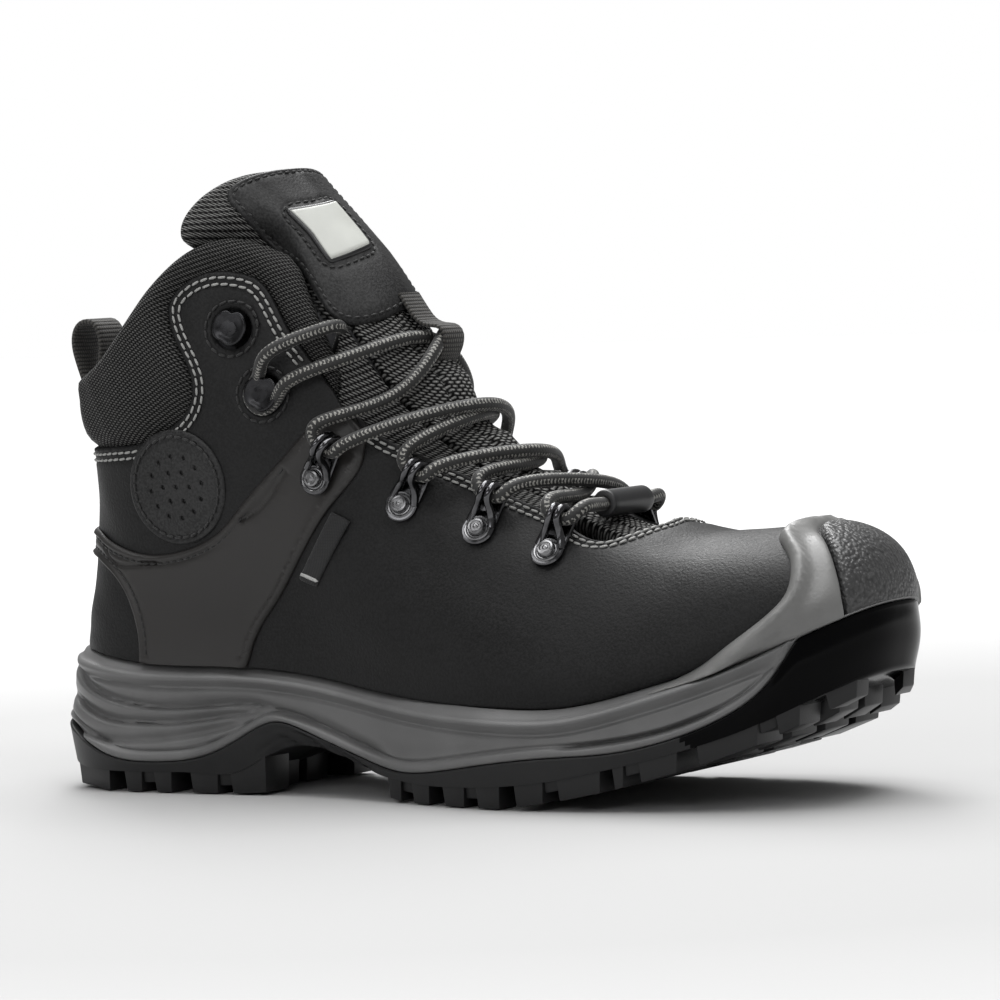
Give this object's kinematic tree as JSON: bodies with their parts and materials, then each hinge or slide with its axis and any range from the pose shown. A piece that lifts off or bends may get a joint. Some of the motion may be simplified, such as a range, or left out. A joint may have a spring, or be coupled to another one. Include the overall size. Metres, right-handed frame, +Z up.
{
  "type": "steel toe work boot",
  "caption": "Right-foot lace-up safety boot with steel toecap, padded collar and tongue, lugged rubber outsole, riveted lace loops and one long lace.",
  "frame": {"origin": "middle of the box's bottom, on the surface the sole stands on", "axes": "+X towards the toe, +Y towards the inner (medial) side of this right boot, +Z up"},
  "size_m": [0.3008, 0.1052, 0.199],
  "materials": {
    "leather": "waxed matt black",
    "coated_leather": "rubberised satin",
    "textile": "woven mesh",
    "lining": "brushed knit",
    "midsole_pu": "moulded satin",
    "outsole_rubber": "moulded",
    "toe_rubber": "pebbled",
    "steel": "pressed",
    "hardware": "black nickel gloss",
    "board": "fibre",
    "foam": "open cell foam",
    "label": "satin",
    "lace": "braided",
    "side_tab": "woven tab",
    "footbed": "moulded foam with knit top",
    "tag": "soft moulded"
  },
  "bodies": {
    "boot": {"vamp": "leather", "quarter_lateral": "leather", "quarter_medial": "leather", "heel_leather": "leather", "ankle_disc_lateral": "leather", "ankle_disc_medial": "leather", "heel_band": "coated_leather", "collar_pad": "textile", "tongue_lower": "textile", "gusset_lateral": "textile", "gusset_medial": "textile", "lace_keeper": "textile", "quarter_lining": "lining", "vamp_lining": "lining", "midsole": "midsole_pu", "toe_wrap": "midsole_pu", "outsole": "outsole_rubber", "toe_guard": "toe_rubber", "steel_toecap": "steel", "shank": "steel", "puncture_plate": "steel", "lace_loop_lateral_1": "hardware", "lace_rivet_lateral_1": "hardware", "lace_loop_lateral_2": "hardware", "lace_rivet_lateral_2": "hardware", "lace_loop_lateral_3": "hardware", "lace_rivet_lateral_3": "hardware", "lace_loop_lateral_4": "hardware", "lace_rivet_lateral_4": "hardware", "hook_lateral_1": "hardware", "hook_lateral_2": "hardware", "lace_tip_lateral": "tag", "lace_loop_medial_1": "hardware", "lace_rivet_medial_1": "hardware", "lace_loop_medial_2": "hardware", "lace_rivet_medial_2": "hardware", "lace_loop_medial_3": "hardware", "lace_rivet_medial_3": "hardware", "lace_loop_medial_4": "hardware", "lace_rivet_medial_4": "hardware", "hook_medial_1": "hardware", "hook_medial_2": "hardware", "lace_tip_medial": "tag", "insole_board": "board", "heel_counter": "board", "ankle_foam_lateral": "foam", "ankle_foam_medial": "foam", "lace": "lace", "side_label": "side_tab"},
    "tongue": {"tongue_upper": "textile", "tongue_patch": "leather", "tongue_label": "label"},
    "pull_tab": {"pull_loop": "textile"},
    "removable_footbed": {"footbed": "footbed"},
    "tag": {"lace_tag": "tag"}
  },
  "joints": [
    {"name": "tongue_fold", "type": "hinge", "parent": "boot", "child": "tongue", "pos_m": [-0.018, -0.00045, 0.156], "axis": [0, 1, 0], "range_deg": [0, 25]},
    {"name": "pull_loop_swing", "type": "hinge", "parent": "boot", "child": "pull_tab", "pos_m": [-0.1394, -0.00045, 0.1216], "axis": [0, 1, 0], "range_deg": [-60, 0], "stiffness_Nm_per_rad": 0.004},
    {"name": "footbed_lift", "type": "hinge", "parent": "boot", "child": "removable_footbed", "pos_m": [0.131, 0.00455, 0.053], "axis": [0, 1, 0], "range_deg": [0, 3]},
    {"name": "lace_tag_slide", "type": "slide", "parent": "boot", "child": "tag", "axis": [0, 1, 0], "range_m": [-0.003, 0.003]}
  ]
}
